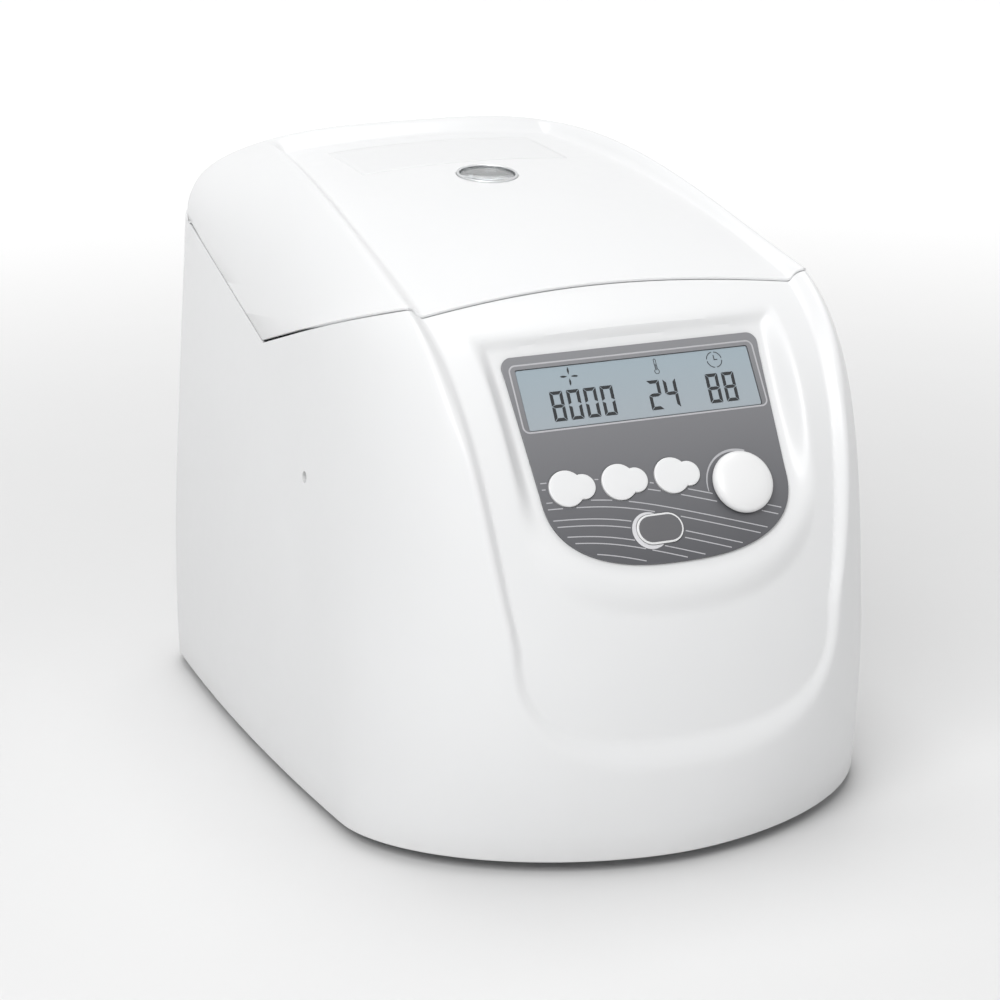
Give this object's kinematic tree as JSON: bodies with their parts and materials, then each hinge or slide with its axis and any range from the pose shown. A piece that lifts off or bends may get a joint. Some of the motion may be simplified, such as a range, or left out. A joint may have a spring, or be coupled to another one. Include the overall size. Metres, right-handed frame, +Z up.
{
  "type": "high-speed bench centrifuge",
  "caption": "Bench centrifuge with a moulded housing, hinged lid with a round window, slanted control panel, display, buttons, setting knob and a fixed-angle rotor.",
  "frame": {"origin": "middle of the overall box in plan, at the base of the feet", "axes": "+Z up, +Y towards the back with the mains inlet, +X to the right seen from the front"},
  "size_m": [0.2714, 0.3745, 0.2852],
  "materials": {
    "housing_white": "satin",
    "liner_grey": "matte",
    "panel_grey": "matte",
    "lcd_glass": "clear",
    "window_clear": "clear",
    "button_white": "matte",
    "black_plastic": "matte",
    "rubber_black": "matte",
    "steel": "brushed",
    "aluminium": "satin",
    "board_green": "satin"
  },
  "bodies": {
    "housing": {"base_pan": "steel", "chamber_bowl": "steel", "chamber_seal": "rubber_black", "control_board": "board_green", "control_panel": "panel_grey", "deck": "liner_grey", "display_module": "black_plastic", "display_pane": "lcd_glass", "encoder": "black_plastic", "foot_front_left": "rubber_black", "foot_front_right": "rubber_black", "foot_rear_left": "rubber_black", "foot_rear_right": "rubber_black", "hinge_bracket_left": "steel", "hinge_bracket_right": "steel", "hinge_pin": "steel", "housing_shell": "housing_white", "latch_frame": "steel", "latch_solenoid": "black_plastic", "lid_spring_left": "steel", "lid_spring_right": "steel", "motor": "steel", "motor_damper_1": "rubber_black", "motor_damper_2": "rubber_black", "motor_damper_3": "rubber_black", "motor_plate": "steel", "power_board": "board_green", "power_inlet": "black_plastic", "shaft_boot": "rubber_black", "switch_body": "black_plastic"},
    "lid": {"lid_shell": "housing_white", "lid_liner": "liner_grey", "liner_window": "window_clear", "lid_window": "window_clear", "window_ring": "steel", "lid_striker": "steel", "hinge_arm_left": "steel", "hinge_arm_right": "steel"},
    "rotor_set": {"rotor": "aluminium", "drive_shaft": "steel", "rotor_nut": "black_plastic"},
    "knob": {"control_knob": "button_white"},
    "pulse": {"pulse_button": "button_white"},
    "door": {"door_button": "button_white"},
    "select": {"select_button": "button_white"},
    "start_stop": {"start_stop_button": "button_white"},
    "rocker": {"switch_rocker": "black_plastic"},
    "pawl": {"latch_pawl": "steel"},
    "drawer": {"fuse_drawer": "black_plastic"}
  },
  "joints": [
    {"name": "lid_hinge", "type": "hinge", "parent": "housing", "child": "lid", "pos_m": [0, 0.1727, 0.2495], "axis": [-1, 0, 0], "range_deg": [0, 72]},
    {"name": "rotor_spin", "type": "hinge", "parent": "housing", "child": "rotor_set", "pos_m": [0, 0.0457, 0.125], "axis": [0, 0, 1], "continuous": true},
    {"name": "knob_turn", "type": "hinge", "parent": "housing", "child": "knob", "pos_m": [0.0362, -0.15619, 0.1681], "axis": [0, -0.8167, 0.577], "continuous": true},
    {"name": "pulse_press", "type": "slide", "parent": "housing", "child": "pulse", "axis": [0, 0.8167, -0.577], "range_m": [0, 0.0006], "stiffness_N_per_m": 400, "springref_m": -0.0015},
    {"name": "door_press", "type": "slide", "parent": "housing", "child": "door", "axis": [0, 0.8167, -0.577], "range_m": [0, 0.0006], "stiffness_N_per_m": 400, "springref_m": -0.0015},
    {"name": "select_press", "type": "slide", "parent": "housing", "child": "select", "axis": [0, 0.8167, -0.577], "range_m": [0, 0.0006], "stiffness_N_per_m": 400, "springref_m": -0.0015},
    {"name": "start_stop_press", "type": "slide", "parent": "housing", "child": "start_stop", "axis": [0, 0.8167, -0.577], "range_m": [0, 0.0006], "stiffness_N_per_m": 400, "springref_m": -0.0015},
    {"name": "rocker_tilt", "type": "hinge", "parent": "housing", "child": "rocker", "pos_m": [0.03, 0.1833, 0.046], "axis": [1, 0, 0], "range_deg": [0, 18]},
    {"name": "pawl_swing", "type": "hinge", "parent": "housing", "child": "pawl", "pos_m": [0, -0.0863, 0.165], "axis": [-1, 0, 0], "range_deg": [0, 14], "stiffness_Nm_per_rad": 0.05, "springref_deg": -17.19},
    {"name": "drawer_slide", "type": "slide", "parent": "housing", "child": "drawer", "axis": [0, 1, 0], "range_m": [0, 0.016]}
  ]
}
